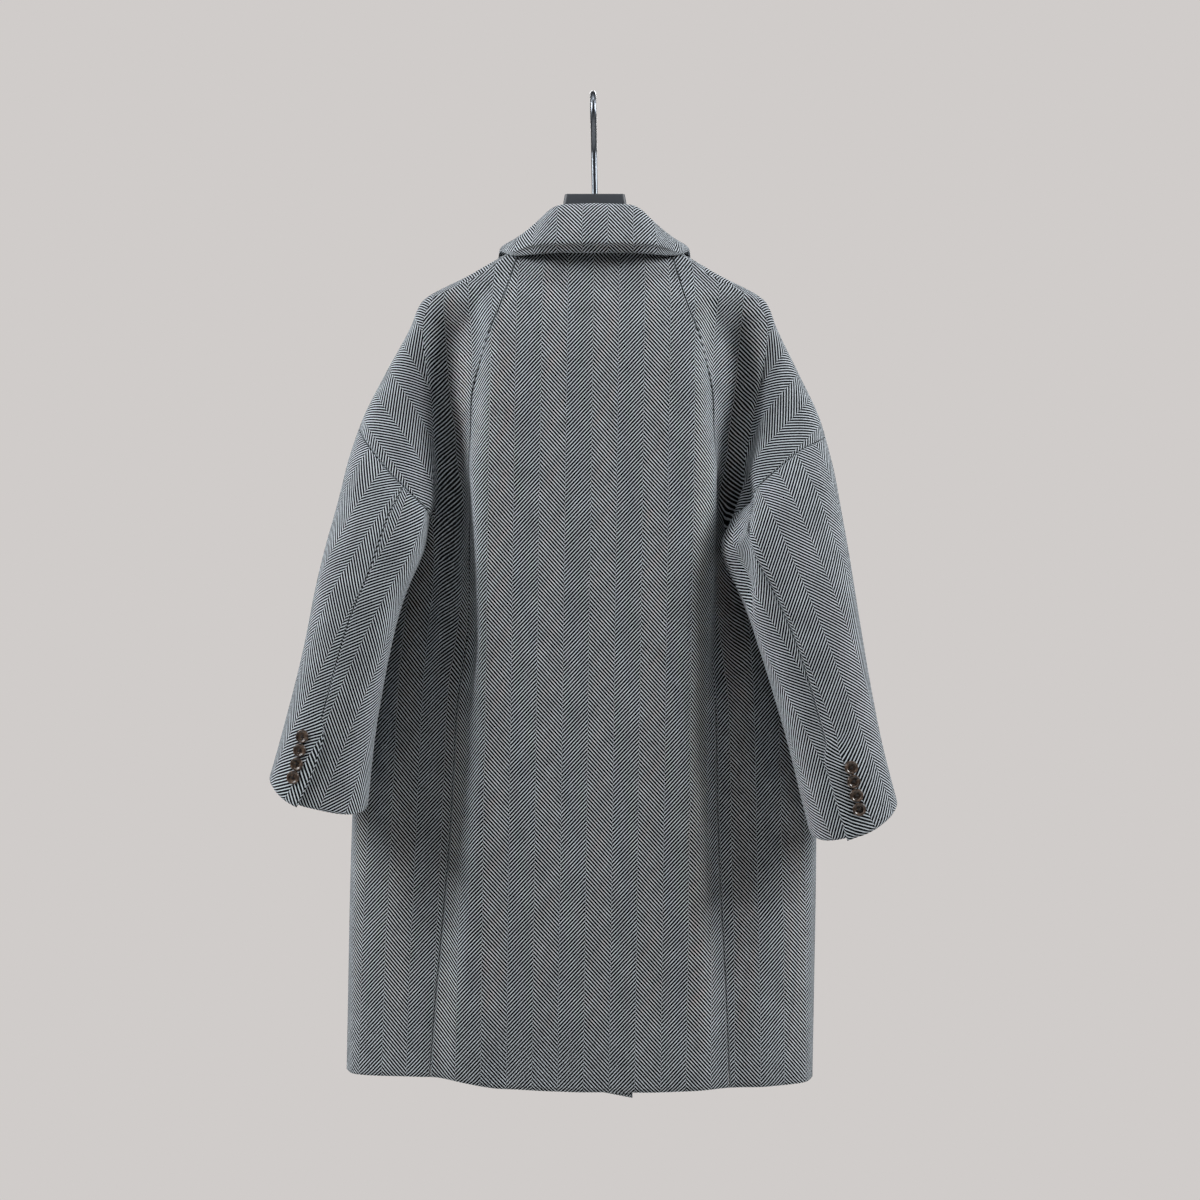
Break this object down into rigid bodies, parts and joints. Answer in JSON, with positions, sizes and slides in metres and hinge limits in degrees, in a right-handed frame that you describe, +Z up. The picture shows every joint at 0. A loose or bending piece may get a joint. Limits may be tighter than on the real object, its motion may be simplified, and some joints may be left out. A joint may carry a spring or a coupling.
{
  "type": "double-breasted overcoat on a hanger",
  "caption": "Mid-length woollen double-breasted overcoat with dropped shoulders, turn-down collar and buttoned cuffs, hanging open at neck, hem and cuffs on a hanger with a wire hook.",
  "frame": {"origin": "the point of the hook's inner bend that bears on a rail", "axes": "+Z up, -Y towards the coat's back, +X towards the wearer's right"},
  "size_m": [0.6734, 0.1511, 1.1194],
  "materials": {
    "wool": "grey herringbone wool with a light nap",
    "horn": "polished dark brown horn",
    "hanger": "dark grey, matt",
    "hook": "polished"
  },
  "bodies": {
    "root": {"back_centre": "wool", "side_back_left": "wool", "side_back_right": "wool", "front_left": "wool", "front_right": "wool", "lapel_left": "wool", "lapel_right": "wool", "collar": "wool", "upper_sleeve_left": "wool", "upper_sleeve_right": "wool", "under_sleeve_left": "wool", "under_sleeve_right": "wool", "cuff_button_left_1": "horn", "cuff_button_left_2": "horn", "cuff_button_left_3": "horn", "cuff_button_left_4": "horn", "cuff_button_right_1": "horn", "cuff_button_right_2": "horn", "cuff_button_right_3": "horn", "cuff_button_right_4": "horn", "front_button_edge_1": "horn", "front_button_edge_2": "horn", "front_button_edge_3": "horn", "front_button_inner_1": "horn", "front_button_inner_2": "horn", "front_button_inner_3": "horn", "hanger_arms": "hanger", "hanger_block": "hanger", "hanger_hook": "hook"}
  },
  "joints": []
}
